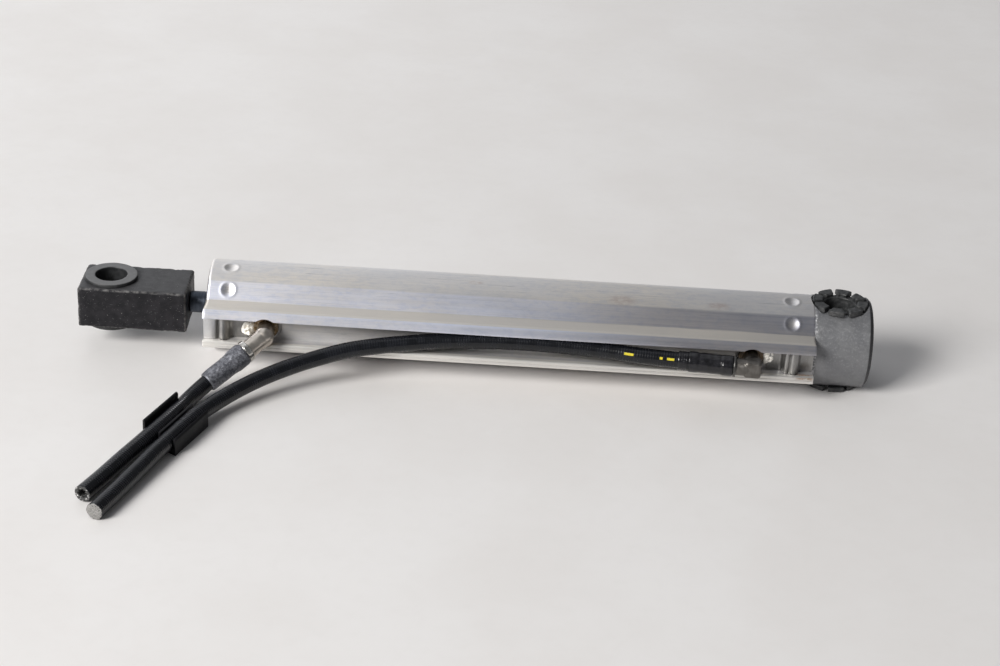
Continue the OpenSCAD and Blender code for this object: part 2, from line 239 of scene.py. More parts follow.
def tube(name, path, rad, n=40, start=(), end=()):
    """Round tube along a path. start and end are extra rings at each end: [distance along, radius]."""
    m = len(path)
    tan = [(path[min(i + 1, m - 1)] - path[max(i - 1, 0)]).normalized() for i in range(m)]
    dist = [0.0]
    for a, b in zip(path, path[1:]):
        dist.append(dist[-1] + (b - a).length)
    rings = [(path[0] + tan[0] * dt, tan[0], r, dt) for dt, r in start]
    rings += [(path[i], tan[i], rad(dist[i]) if callable(rad) else rad, dist[i]) for i in range(m)]
    rings += [(path[-1] + tan[-1] * dt, tan[-1], r, dist[-1] + dt) for dt, r in end]
    verts, att = [], []
    for p, t, r, s in rings:
        side = t.cross(Vector((0, 0, 1))).normalized()
        up = side.cross(t)
        for k in range(n):
            a = 2 * math.pi * k / n
            verts.append(p + (side * math.cos(a) + up * math.sin(a)) * r)
            att.append((math.cos(a), math.sin(a), s))
    faces = [(i * n + k, (i + 1) * n + k, (i + 1) * n + (k + 1) % n, i * n + (k + 1) % n)
             for i in range(len(rings) - 1) for k in range(n)]
    faces += [tuple(range(n)), tuple(range((len(rings) - 1) * n, len(rings) * n))]
    ob = make(name, verts, faces)
    at = ob.data.attributes.new("tube", "FLOAT_VECTOR", "POINT")
    at.data.foreach_set("vector", np.array(att, np.float32).ravel())
    return ob, dist[-1]


def rough_up(ob, amp, size, seed=0.0, amp2=0.0, size2=1.0, keep=None):
    """Moves each point along its normal by smooth noise, in mm."""
    me = ob.data
    normals = [v.normal.copy() for v in me.vertices]
    off = Vector((seed * 7.3, seed * 3.1, seed * 5.7))
    for v, nn in zip(me.vertices, normals):
        c = v.co / MM
        k = 1.0 if keep is None else keep(c)
        h = amp * noise.noise(c / size + off)
        if amp2:
            h += amp2 * noise.noise(c / size2 + off)
        v.co += nn * (h * k * MM)
    return ob


def prism(name, outline, z0, z1):
    m = len(outline)
    verts = [(x, y, z0) for x, y in outline] + [(x, y, z1) for x, y in outline]
    faces = [tuple(range(m)), tuple(range(m, 2 * m))] + [(i, (i + 1) % m, m + (i + 1) % m, m + i) for i in range(m)]
    return finish_mesh(make(name, verts, faces))


# ---------------------------------------------------------------- material helpers
class Mat:
    """Small wrapper that keeps node graphs short."""

    def __init__(self, name, **sockets):
        self.m = bpy.data.materials.new(name)
        self.m.use_nodes = True
        self.t = self.m.node_tree
        self.t.nodes.clear()
        out = self.t.nodes.new("ShaderNodeOutputMaterial")
        self.b = self.t.nodes.new("ShaderNodeBsdfPrincipled")
        self.t.links.new(self.b.outputs[0], out.inputs[0])
        self.pos = self.t.nodes.new("ShaderNodeTexCoord").outputs["Object"]
        self.set(**sockets)

    def set(self, **sockets):
        for k, v in sockets.items():
            s = self.b.inputs[k.replace("_", " ")]
            if hasattr(v, "is_output"):
                self.t.links.new(v, s)
            else:
                s.default_value = (*v, 1) if isinstance(v, tuple) and len(v) == 3 and s.type == "RGBA" else v

    def node(self, kind, out=0, **inputs):
        n = self.t.nodes.new(kind)
        for k, v in inputs.items():
            if hasattr(n, k) and k not in n.inputs.keys():
                setattr(n, k, v)
                continue
            s = n.inputs[int(k[1:])] if k[0] == "i" and k[1:].isdigit() else n.inputs[k]
            if hasattr(v, "is_output"):
                self.t.links.new(v, s)
            else:
                s.default_value = v
        return n.outputs[out]

    def math(self, op, a, b=0.0, c=0.0, clamp=False):
        return self.node("ShaderNodeMath", operation=op, use_clamp=clamp, i0=a, i1=b, i2=c)

    def at(self, scale, offset=(0, 0, 0)):
        return self.node("ShaderNodeMapping", Vector=self.pos, Scale=scale, Location=offset)

    def noise(self, size, stretch=(1, 1, 1), detail=3.0, rough=0.55, offset=(0, 0, 0), distortion=0.0):
        """Noise with features about size mm, stretched along the axes."""
        s = 1 / (size * MM)
        v = self.at((s / stretch[0], s / stretch[1], s / stretch[2]), offset)
        return self.node("ShaderNodeTexNoise", Vector=v, Scale=1.0, Detail=detail, Roughness=rough, Distortion=distortion)

    def cells(self, size, stretch=(1, 1, 1), offset=(0, 0, 0)):
        s = 1 / (size * MM)
        v = self.at((s / stretch[0], s / stretch[1], s / stretch[2]), offset)
        return self.node("ShaderNodeTexVoronoi", Vector=v, Scale=1.0)

    def band(self, x, lo, hi, a=0.0, b=1.0):
        """Smooth step of x from a at lo to b at hi."""
        return self.node("ShaderNodeMapRange", interpolation_type="SMOOTHSTEP", i0=x, i1=lo, i2=hi, i3=a, i4=b)

    def mix(self, f, a, b, mode="MIX"):
        n = self.t.nodes.new("ShaderNodeMix")
        n.data_type, n.blend_type = "RGBA", mode
        for s, v in ((n.inputs[0], f), (n.inputs[6], a), (n.inputs[7], b)):
            if hasattr(v, "is_output"):
                self.t.links.new(v, s)
            else:
                s.default_value = (*v, 1) if isinstance(v, tuple) and len(v) == 3 else v
        return n.outputs[2]

    def xyz(self, v=None):
        n = self.t.nodes.new("ShaderNodeSeparateXYZ")
        self.t.links.new(v or self.pos, n.inputs[0])
        return n.outputs

    def near(self, p, r, soft=1.0, squeeze=(1, 1, 1)):
        """1 inside radius r (mm) of point p, falling to 0 at r + soft."""
        v = self.node("ShaderNodeVectorMath", operation="SUBTRACT", i0=self.pos, i1=Vector(p) * MM)
        v = self.node("ShaderNodeVectorMath", operation="MULTIPLY", i0=v, i1=squeeze)
        n = self.t.nodes.new("ShaderNodeVectorMath")
        n.operation = "LENGTH"
        self.t.links.new(v, n.inputs[0])
        return self.band(n.outputs["Value"], r * MM, (r + soft) * MM, 1.0, 0.0)

    def bump(self, height, strength, depth, normal=None):
        kw = {"Height": height, "Strength": strength, "Distance": depth * MM}
        if normal is not None:
            kw["Normal"] = normal
        return self.node("ShaderNodeBump", **kw)

    def upward(self):
        """1 on faces that look up, where dust lies and the room light falls."""
        g = self.t.nodes.new("ShaderNodeNewGeometry")
        return self.band(self.xyz(g.outputs["True Normal"])[2], 0.7, 0.97)

    def attr(self, name, out="Vector"):
        n = self.t.nodes.new("ShaderNodeAttribute")
        n.attribute_name = name
        return n.outputs[out]


def barrel_material():
    m = Mat("barrel_aluminium", Metallic=1.0)
    x, y, z = m.xyz()
    lines = m.noise(0.22, (260, 1, 1), 3, 0.6)
    lines2 = m.noise(0.9, (150, 1, 1), 2, 0.5, offset=(3, 1, 2))
    cloud = m.noise(9, (4, 1, 1), 5, 0.62)
    fine = m.noise(1.6, (2.2, 1, 1), 4, 0.65, offset=(8, 2, 5))
    grain = m.noise(0.35, (1.5, 1, 1), 2, 0.6, offset=(1, 5, 2))
    warm = m.band(m.noise(26, (2.5, 1, 1), 3, 0.5, offset=(4, 4, 4)), 0.4, 0.62)
    col = m.mix(warm, (0.745, 0.735, 0.735), (0.785, 0.750, 0.705))
    col = m.mix(m.band(fine, 0.42, 0.70, 0.0, 0.50), col, (0.62, 0.63, 0.67))
    col = m.mix(m.band(lines, 0.52, 0.70, 0.0, 0.36), col, (0.48, 0.48, 0.50))
    col = m.mix(m.band(m.noise(0.30, (3, 1, 1), 2, 0.5, offset=(7, 7, 2)), 0.72, 0.78, 0.0, 0.6), col, (0.92, 0.92, 0.93))
    # thin stray scratches
    scr = m.noise(0.5, (46, 1, 1), 2, 0.4, offset=(9, 3, 7), distortion=0.4)
    scr = m.math("MULTIPLY", m.band(scr, 0.66, 0.70), m.band(cloud, 0.45, 0.6))
    col = m.mix(m.math("MULTIPLY", scr, 0.5), col, (0.36, 0.36, 0.37))
    # reddish-brown smudges on the crown
    for p, r in (((-84, -7.5, 15.4), 2.6), ((-47, -7.5, 15.4), 2.0), ((-140, -3, 17), 1.3)):
        s = m.math("MULTIPLY", m.near(p, r * 0.3, r, (0.45, 1, 1)), m.band(fine, 0.35, 0.6, 0.05, 0.34))
        col = m.mix(s, col, (0.50, 0.34, 0.26))
    # the back wall of the channel is darker in cloudy patches, and brown stains lie around the ports
    chan = m.math("MULTIPLY", m.band(y, -0.0192, -0.0182, 0.0, 1.0), m.band(y, -0.0172, -0.0176, 0.0, 1.0))
    chan = m.math("MULTIPLY", chan, m.math("MULTIPLY", m.band(z, -0.0062, -0.0052), m.band(z, 0.0062, 0.0052)))
    col = m.mix(m.math("MULTIPLY", chan, m.band(cloud, 0.3, 0.7, 0.25, 0.60)), col, (0.40, 0.39, 0.38))
    # painted reflection: the flat and the nose of the lip are painted bluer than the crown, and darker towards the
    # base, where the lamp's reflection in them fades
    f = m.math("ADD", m.math("MULTIPLY", y, -0.7312), m.math("MULTIPLY", z, 0.6822))
    t = m.math("SUBTRACT", 0.000581, m.math("ADD", m.math("MULTIPLY", y, 0.6822), m.math("MULTIPLY", z, 0.7312)))
    wave = m.math("MULTIPLY", m.math("SUBTRACT", m.noise(2.0, (30, 1, 1), 3, 0.6, offset=(2, 7, 1)), 0.5), 0.0016)
    t = m.math("ADD", t, wave)
    flat = m.math("MULTIPLY", m.math("MULTIPLY", m.band(t, -0.0040, -0.0029), m.band(t, 0.0040, 0.0047, 1.0, 0.0)), m.band(f, 0.0161, 0.0167))
    lip = m.math("MULTIPLY", m.band(y, -0.0218, -0.0210, 1.0, 0.0), m.band(z, 0.0044, 0.0049))
    # painted reflection: the strip between the flat and the lip is painted warmer and a little darker
    strip_reflection_paint = m.math("MULTIPLY", m.math("MULTIPLY", m.band(y, -0.0218, -0.0210), m.band(y, -0.0150, -0.0145, 1.0, 0.0)), m.band(z, 0.0060, 0.0065))
    col = m.mix(m.math("MULTIPLY", strip_reflection_paint, 0.8), col, (0.70, 0.665, 0.61))
    flat_lip_reflection_paint = m.mix(m.band(x, -0.130, -0.052), (1.06, 1.11, 1.25), (0.58, 0.595, 0.665))
    flat_lip_reflection_paint = m.math("MULTIPLY", m.math("MAXIMUM", flat, lip), m.band(lines2, 0.35, 0.65, 0.80, 1.0)), m.mix(1.0, col, flat_lip_reflection_paint, "MULTIPLY")
    col = m.mix(flat_lip_reflection_paint[0], col, flat_lip_reflection_paint[1])
    for px in PORTS:
        g = m.math("MULTIPLY", m.near((px, -18, 1.5), 4.8, 2.6), m.band(fine, 0.3, 0.62, 0.35, 0.95))
        g = m.math("MULTIPLY", g, m.math("MULTIPLY", m.band(y, -0.0185, -0.0170, 1.0, 0.0), m.band(z, 0.0052, 0.0064, 1.0, 0.0)))
        col = m.mix(g, col, (0.17, 0.11, 0.07))
    # rust water stain on the lower rail beside the base end strip
    rust = m.math("MULTIPLY", m.near((-13, -22.8, -4.5), 0.8, 2.6, (0.45, 1, 1.7)), m.band(fine, 0.38, 0.58, 0.10, 1.0))
    rust = m.math("MULTIPLY", rust, m.band(z, -0.0047, -0.0043, 1.0, 0.0))
    col = m.mix(rust, col, (0.40, 0.19, 0.045))
    # painted light: the lower rail is painted paler and creamier, standing in for the light its front face catches
    rail = m.math("MULTIPLY", m.band(z, -0.0043, -0.0041, 1.0, 0.0), m.band(y, -0.0215, -0.0210, 1.0, 0.0))
    rail = m.math("MULTIPLY", rail, m.math("SUBTRACT", 0.85, rust, clamp=True))
    col = m.mix(rail, col, (0.94, 0.92, 0.88))
    rough = m.math("ADD", m.band(cloud, 0.3, 0.7, 0.47, 0.55), m.math("MULTIPLY", lines, 0.06))
    rough = m.math("ADD", rough, m.math("MULTIPLY", m.math("ADD", chan, rust), 0.16), clamp=True)
    n = m.bump(lines, 0.30, 0.020)
    n = m.bump(lines2, 0.25, 0.05, n)
    n = m.bump(fine, 0.16, 0.06, n)
    n = m.bump(grain, 0.22, 0.02, n)
    around = m.t.nodes.new("ShaderNodeTangent")
    around.direction_type, around.axis = "RADIAL", "X"
    m.set(Base_Color=col, Roughness=rough, Normal=n, Anisotropic=0.7, Tangent=around.outputs[0])
    return m.m


def cap_material():
    m = Mat("cast_cap", Metallic=0.55)
    x, y, z = m.xyz()
    big = m.noise(7, detail=4)
    mid = m.noise(0.8, detail=4, rough=0.65, offset=(3, 3, 1))
    sand = m.noise(0.33, detail=3, rough=0.7, offset=(1, 7, 2))
    col = m.mix(m.band(big, 0.35, 0.65), (0.168, 0.171, 0.180), (0.196, 0.199, 0.206))
    col = m.mix(m.band(mid, 0.5, 0.72, 0.0, 0.6), col, (0.30, 0.30, 0.31))
    col = m.mix(m.band(sand, 0.62, 0.74, 0.0, 0.55), col, (0.42, 0.42, 0.44))
    # painted shade: the chamfer and end face at the base end are painted near black, standing in for the shade on faces
    # turned away from the lamp
    edge = m.math("MAXIMUM", m.band(x, 0.0106, 0.0111), 0.0)
    col = m.mix(m.math("MULTIPLY", edge, 0.86), col, (0.022, 0.022, 0.025))
    scuff = m.math("MULTIPLY", m.band(x, -0.0086, -0.0098), m.band(mid, 0.48, 0.62))
    col = m.mix(m.math("MULTIPLY", scuff, 0.7), col, (0.62, 0.62, 0.63))
    n = m.bump(sand, 0.55, 0.10)
    n = m.bump(mid, 0.35, 0.16, n)
    m.set(Base_Color=col, Roughness=m.band(mid, 0.3, 0.7, 0.42, 0.62), Normal=n)
    return m.m


def plastic_material(name, dark, light, rough=(0.34, 0.5), grain=0.35, dust=0.3):
    m = Mat(name)
    a = m.noise(1.8, detail=4, rough=0.6)
    b = m.noise(grain, detail=2, offset=(4, 1, 6))
    col = m.mix(m.band(a, 0.4, 0.7), dark, light)
    col = m.mix(m.band(b, 0.66, 0.78, 0.0, dust), col, (0.45, 0.45, 0.45))
    n = m.bump(b, 0.25, 0.05)
    n = m.bump(a, 0.2, 0.12, n)
    m.set(Base_Color=col, Roughness=m.band(a, 0.3, 0.7, *rough), Normal=n)
    return m.m


def eye_bush_material():
    m = Mat("grey_polymer")
    a = m.noise(1.8, detail=4, rough=0.6)
    b = m.noise(0.35, detail=2, offset=(4, 1, 6))
    # painted light and shade: faces looking up are painted pale grey as if lit, the other faces and the bore near black
    # as if in shade
    lit_top_paint = m.mix(m.band(a, 0.4, 0.7), (0.118, 0.119, 0.121), (0.152, 0.154, 0.157))
    side = m.mix(m.band(a, 0.4, 0.7), (0.014, 0.015, 0.016), (0.024, 0.025, 0.027))
    col = m.mix(m.upward(), side, lit_top_paint)
    col = m.mix(m.band(b, 0.66, 0.78, 0.0, 0.3), col, (0.30, 0.30, 0.30))
    m.set(Base_Color=col, Roughness=m.band(a, 0.3, 0.7, 0.42, 0.56), Normal=m.bump(a, 0.2, 0.12, m.bump(b, 0.25, 0.05)))
    return m.m


def strip_material():
    m = Mat("clip_steel", Metallic=1.0)
    x = m.xyz()[0]
    a = m.noise(3.2, (1, 1, 3), 5, 0.6)
    b = m.noise(0.4, (1, 1, 3), 3, 0.6, offset=(5, 2, 9))
    col = m.mix(m.band(a, 0.35, 0.68), (0.28, 0.276, 0.27), (0.34, 0.336, 0.33))
    col = m.mix(m.band(x, -0.2372, -0.2380), col, (0.80, 0.80, 0.81))
    col = m.mix(m.band(b, 0.5, 0.75, 0.0, 0.3), col, (0.60, 0.59, 0.58))
    m.set(Base_Color=col, Roughness=m.band(a, 0.3, 0.7, 0.38, 0.47), Normal=m.bump(b, 0.12, 0.05))
    return m.m


def block_material():
    m = Mat("black_steel", Metallic=0.1)
    x, y, z = m.xyz()
    a = m.noise(3.0, detail=5, rough=0.62)
    b = m.noise(0.55, detail=3, rough=0.7, offset=(2, 9, 4))
    wear = m.attr("wear", "Fac")
    col = m.mix(m.band(a, 0.35, 0.7), (0.006, 0.006, 0.008), (0.017, 0.016, 0.019))
    # painted light: faces looking up are painted paler, partly dust and partly the room light falling on them
    col = m.mix(m.math("MULTIPLY", m.upward(), m.band(a, 0.2, 0.8, 0.85, 1.0)), col, (0.058, 0.058, 0.061))
    w = m.math("MULTIPLY", wear, m.band(m.noise(1.6, detail=4, rough=0.6, offset=(6, 1, 3)), 0.40, 0.62))
    col = m.mix(m.math("MULTIPLY", w, 0.55), col, (0.36, 0.35, 0.34))
    scr = m.math("MULTIPLY", m.band(m.noise(0.45, (7, 1, 1), 2, 0.5, offset=(3, 2, 8)), 0.70, 0.74), 0.30)
    col = m.mix(scr, col, (0.20, 0.20, 0.21))
    specks = m.band(b, 0.665, 0.72, 0.0, 0.5)
    col = m.mix(specks, col, (0.5, 0.49, 0.48))
    n = m.bump(b, 0.30, 0.06)
    n = m.bump(a, 0.35, 0.20, n)
    m.set(Base_Color=col, Roughness=m.band(a, 0.3, 0.7, 0.38, 0.56), Normal=n)
    m.b.inputs["Specular IOR Level"].default_value = 0.28
    return m.m


def metal_material(name, lo, hi, rough, size=2.5, metallic=1.0, stretch=(1, 1, 1), speck=None, bump=0.2, grain=0.4):
    m = Mat(name, Metallic=metallic)
    a = m.noise(size, stretch, 5, 0.6)
    b = m.noise(grain, stretch, 3, 0.6, offset=(5, 2, 9))
    col = m.mix(m.band(a, 0.35, 0.68), lo, hi)
    if speck:
        col = m.mix(m.band(b, 0.58, 0.72, 0.0, speck[1]), col, speck[0])
    n = m.bump(b, bump, 0.05)
    n = m.bump(a, bump * 0.8, 0.10, n)
    m.set(Base_Color=col, Roughness=m.band(a, 0.3, 0.7, *rough), Normal=n)
    return m


def elbow_material(name, lo, hi, stain, k, rough, depth):
    m = metal_material(name, lo, hi, rough, 2.4, bump=0.07)
    x, y, z = m.xyz()
    dirt = m.noise(1.1, detail=4, offset=(6, 6, 1))
    col = m.b.inputs["Base Color"].links[0].from_socket
    mask = m.math("MULTIPLY", m.band(y, (k[1] + 2.6 + depth) * MM, (k[1] + 7.2 + depth) * MM), m.band(dirt, 0.25, 0.6, 0.55, 1.0))
    m.set(Base_Color=m.mix(mask, col, stain))
    return m.m


def hose_material():
    m = Mat("hose_black")
    c, s, v = m.xyz(m.attr("tube"))
    th = m.math("ARCTAN2", s, c)
    rings = m.math("COSINE", m.math("MULTIPLY", v, 2 * math.pi / 1.0))
    cords = m.math("COSINE", m.math("MULTIPLY", th, 26))
    weave = m.math("ADD", m.math("MULTIPLY", rings, 0.62), m.math("MULTIPLY", cords, 0.38))
    a = m.noise(4, detail=4, rough=0.6)
    b = m.noise(0.5, detail=2, offset=(2, 4, 8))
    col = m.mix(m.band(a, 0.35, 0.7), (0.0035, 0.0040, 0.0055), (0.007, 0.008, 0.011))
    col = m.mix(m.band(b, 0.68, 0.8, 0.0, 0.10), col, (0.2, 0.2, 0.2))
    # painted highlight: a row of pale specks stands in for the glints of the braid along the short hose where it lies
    # in the clip
    braid_glint_paint = m.math("MULTIPLY", m.band(m.math("COSINE", m.math("MULTIPLY", v, 2 * math.pi / 1.22)), 0.25, 0.6), m.band(m.math("ABSOLUTE", m.math("SUBTRACT", th, 1.75)), 0.06, 0.12, 1, 0))
    braid_glint_paint = m.math("MULTIPLY", braid_glint_paint, m.math("MULTIPLY", m.band(v, 29.5, 31.5), m.band(v, 34, 54, 1, 0.1)))
    col = m.mix(m.math("MULTIPLY", braid_glint_paint, m.math("SUBTRACT", 1.0, m.attr("marks", "Fac"))), col, (0.45, 0.45, 0.47))
    # plain yellow registration dashes printed near the rear fitting
    for v0, w, t0, tw in ((21.7, 1.3, 2.66, 0.13), (25.3, 0.5, 2.66, 0.13), (37.4, 1.7, 2.66, 0.13)):
        dv = m.band(m.math("ABSOLUTE", m.math("SUBTRACT", v, v0)), w, w + 0.12, 1, 0)
        dt = m.band(m.math("ABSOLUTE", m.math("SUBTRACT", th, t0)), tw, tw + 0.04, 1, 0)
        ink = m.math("MULTIPLY", m.math("MULTIPLY", dv, dt), m.attr("marks", "Fac"))
        col = m.mix(m.math("MULTIPLY", ink, m.band(b, 0.25, 0.5, 0.5, 1.0)), col, (0.62, 0.52, 0.04))
    n = m.bump(weave, 0.45, 0.06)
    n = m.bump(b, 0.15, 0.03, n)
    rough = m.math("SUBTRACT", m.band(a, 0.3, 0.7, 0.22, 0.29), m.math("MULTIPLY", weave, 0.03))
    m.set(Base_Color=col, Roughness=rough, Normal=n)
    m.b.inputs["Specular IOR Level"].default_value = 0.42
    return m.m


def pale_material(name, lo, hi, dark, amount, size):
    m = Mat(name)
    a = m.noise(size, detail=4, rough=0.7)
    b = m.noise(size * 0.35, detail=3, rough=0.7, offset=(3, 8, 1))
    col = m.mix(m.band(b, 0.4, 0.65), lo, hi)
    col = m.mix(m.band(a, amount, amount + 0.08), col, dark)
    m.set(Base_Color=col, Roughness=m.band(b, 0.3, 0.7, 0.55, 0.8), Normal=m.bump(b, 0.6, 0.15))
    return m.m


MAT = {
    "barrel_aluminium": barrel_material(),
    "cast_cap": cap_material(),
    "seal_rubber": plastic_material("seal_rubber", (0.010, 0.010, 0.010), (0.022, 0.022, 0.022), (0.45, 0.6)),
    "black_plastic": plastic_material("black_plastic", (0.016, 0.017, 0.018), (0.034, 0.035, 0.037), (0.36, 0.5)),
    "turned_aluminium": metal_material("turned_aluminium", (0.70, 0.70, 0.70), (0.80, 0.80, 0.81), (0.22, 0.34), 3, stretch=(0.05, 1, 1)).m,
    "bearing_bronze": metal_material("bearing_bronze", (0.42, 0.26, 0.11), (0.55, 0.36, 0.17), (0.3, 0.45)).m,
    "seal_polymer": plastic_material("seal_polymer", (0.04, 0.06, 0.22), (0.06, 0.09, 0.30), (0.35, 0.5)),
    "clip_steel": strip_material(),
    "rod_chrome": metal_material("rod_chrome", (0.055, 0.064, 0.082), (0.085, 0.098, 0.120), (0.36, 0.43), 5, stretch=(0.2, 1, 1), bump=0.08).m,
    "guide_ring_phenolic": plastic_material("guide_ring_phenolic", (0.20, 0.09, 0.03), (0.32, 0.16, 0.07), (0.45, 0.6)),
    "zinc_steel": metal_material("zinc_steel", (0.45, 0.45, 0.44), (0.62, 0.61, 0.58), (0.28, 0.42)).m,
    "black_steel": block_material(),
    "grey_polymer": eye_bush_material(),
    "nickel_elbow": elbow_material("nickel_elbow", (0.66, 0.605, 0.535), (0.76, 0.70, 0.625), (0.17, 0.115, 0.06), K_F, (0.28, 0.35), 0.0),
    # painted shade: the rear elbow is painted much darker than the front one, partly its stained finish and partly the
    # shade it sits in
    "rear_elbow_metal": elbow_material("rear_elbow_metal", (0.130, 0.122, 0.112), (0.19, 0.180, 0.168), (0.10, 0.075, 0.05), K_R, (0.38, 0.55), 0.6),
    "ferrule_steel": metal_material("ferrule_steel", (0.10, 0.104, 0.120), (0.26, 0.266, 0.295), (0.36, 0.52), 1.0, 0.6, speck=((0.55, 0.55, 0.60), 0.7), bump=0.8, grain=0.42).m,
    "crimp_black": metal_material("crimp_black", (0.005, 0.005, 0.006), (0.012, 0.012, 0.015), (0.16, 0.26), 1.8, 0.0, speck=((0.2, 0.2, 0.22), 0.05), bump=0.1).m,
    "hose_black": hose_material(),
}
COLLAR = metal_material("bright_collar", (0.62, 0.60, 0.56), (0.80, 0.78, 0.74), (0.16, 0.3), 1.2, bump=0.1).m
# painted shade: a dark copy of the bright collar finish, standing in for the shade on the rear collar
SHADED_REAR_COLLAR = metal_material("shaded_rear_collar", (0.09, 0.088, 0.085), (0.15, 0.146, 0.14), (0.30, 0.45), 1.2, bump=0.1).m
BUSH_BLACK = plastic_material("bush_black", (0.021, 0.022, 0.023), (0.048, 0.049, 0.050), (0.34, 0.5), 0.35, 0.2)
CLIP_BLACK = plastic_material("clip_black", (0.004, 0.004, 0.005), (0.008, 0.008, 0.010), (0.45, 0.6), 0.35, 0.04)
CLIP_BLACK.node_tree.nodes["Principled BSDF"].inputs["Specular IOR Level"].default_value = 0.22
CUT_LONG = pale_material("hose_liner_end", (0.16, 0.156, 0.15), (0.34, 0.332, 0.32), (0.07, 0.07, 0.07), 0.57, 0.9)
CUT_SHORT = pale_material("hose_cut_end", (0.03, 0.03, 0.03), (0.05, 0.05, 0.05), (0.80, 0.79, 0.77), 0.575, 0.8)
FLAKE = pale_material("dried_sealant", (0.80, 0.77, 0.70), (0.93, 0.91, 0.86), (0.50, 0.45, 0.38), 0.66, 0.9)


def place(ob, body, slot, *nodes, mats=None, angle=35):
    """Shades a finished piece and ties it to its body, CAD nodes and finish."""
    finish_mesh(ob, angle)
    wanted, have = mats or [MAT[slot]], ob.data.materials
    while len(have) > len(wanted):
        have.pop()
    for i, mm in enumerate(wanted):
        if i < len(have):
            have[i] = mm
        else:
            have.append(mm)
    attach(ob, body)
    if nodes:
        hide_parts(*nodes)
    return ob


# ---------------------------------------------------------------- hoses, built first
def hose_clip():
    u = Vector((-0.35, -0.937, 0)).normalized()
    n = Vector((0.9367, -0.3499, 0))

    def arc(cx, cy, r):
        return [(cx + r * math.cos(a), cy + r * math.sin(a)) for a in np.linspace(0, -math.pi, 25)]

    left, right = arc(3.75, -13.1, 3.16), arc(-3.75, -13.1, 3.16)
    outline = [(-7.95, -17.4), (8.1, -17.4), (8.1, -9), (7.2, -9), (6.9, -9.6)] + left \
        + [(0.55, -10.9), (-0.55, -10.9)] + right + [(-6.7, -11.1), (-7.2, -10.7), (-7.95, -11.3)]
    o = u * 143.5 - n * 203.65
    verts, m = [], len(outline)
    # both ends are cut askew; the tall wall stands on the short hose's side
    for t in (-2.3, 21.7):
        for a, z in outline:
            p = o - n * a + u * (t - 0.2889 * a)
            verts.append((p.x, p.y, z))
    faces = [tuple(range(m)), tuple(range(m, 2 * m))] + [(i, (i + 1) % m, m + (i + 1) % m, m + i) for i in range(m)]
    ob = finish_mesh(make("twin_hose_clip", verts, faces))
    bevelled(ob, 0.28, 2, 40)
    return place(ob, "barrel", "black_plastic", "hose_clip", mats=[CLIP_BLACK], angle=25)


def hose(name, route, node, marks, end, cut_mat):
    path = smooth_path(route, 0.7)
    ob, length = tube(name, path, 3.1, 40, end=end)
    at = ob.data.attributes.new("marks", "FLOAT", "POINT")
    at.data.foreach_set("value", np.full(len(ob.data.vertices), float(marks), np.float32))
    ob.data.materials.append(MAT["hose_black"])
    ob.data.materials.append(cut_mat)
    n = 40
    first = len(path) * n
    for f in ob.data.polygons:
        if min(f.vertices) >= first - n and len(f.vertices) == 4 and max(f.vertices) >= first + n:
            f.material_index = 1
        if len(f.vertices) > 4 and min(f.vertices) > first:
            f.material_index = 1
    rim = {i for f in ob.data.polygons if f.material_index == 1 for i in f.vertices}
    for i in rim:
        c = ob.data.vertices[i].co / MM
        ob.data.vertices[i].co += Vector((noise.noise(c * 1.7), noise.noise(c * 1.7 + Vector((9, 0, 0))), noise.noise(c * 1.7 + Vector((0, 9, 0))))) * 0.22 * MM
        ob.data.vertices[i].co.y = max(ob.data.vertices[i].co.y, cad_bounds[0][1])
    place(ob, "barrel", "hose_black", node, mats=[MAT["hose_black"], cut_mat])
    return ob


clip = hose_clip()
hose("braided_hose_short", SHORT, "short_hose", 0, [(0.12, 3.02), (0.2, 2.85), (0.16, 2.1), (-0.1, 1.75), (-3.5, 1.7)], CUT_SHORT)
hose("braided_hose_long", LONG, "long_hose", 1, [(0.12, 3.02), (0.2, 2.85), (0.32, 2.3), (0.42, 1.4), (0.38, 0.5)], CUT_LONG)


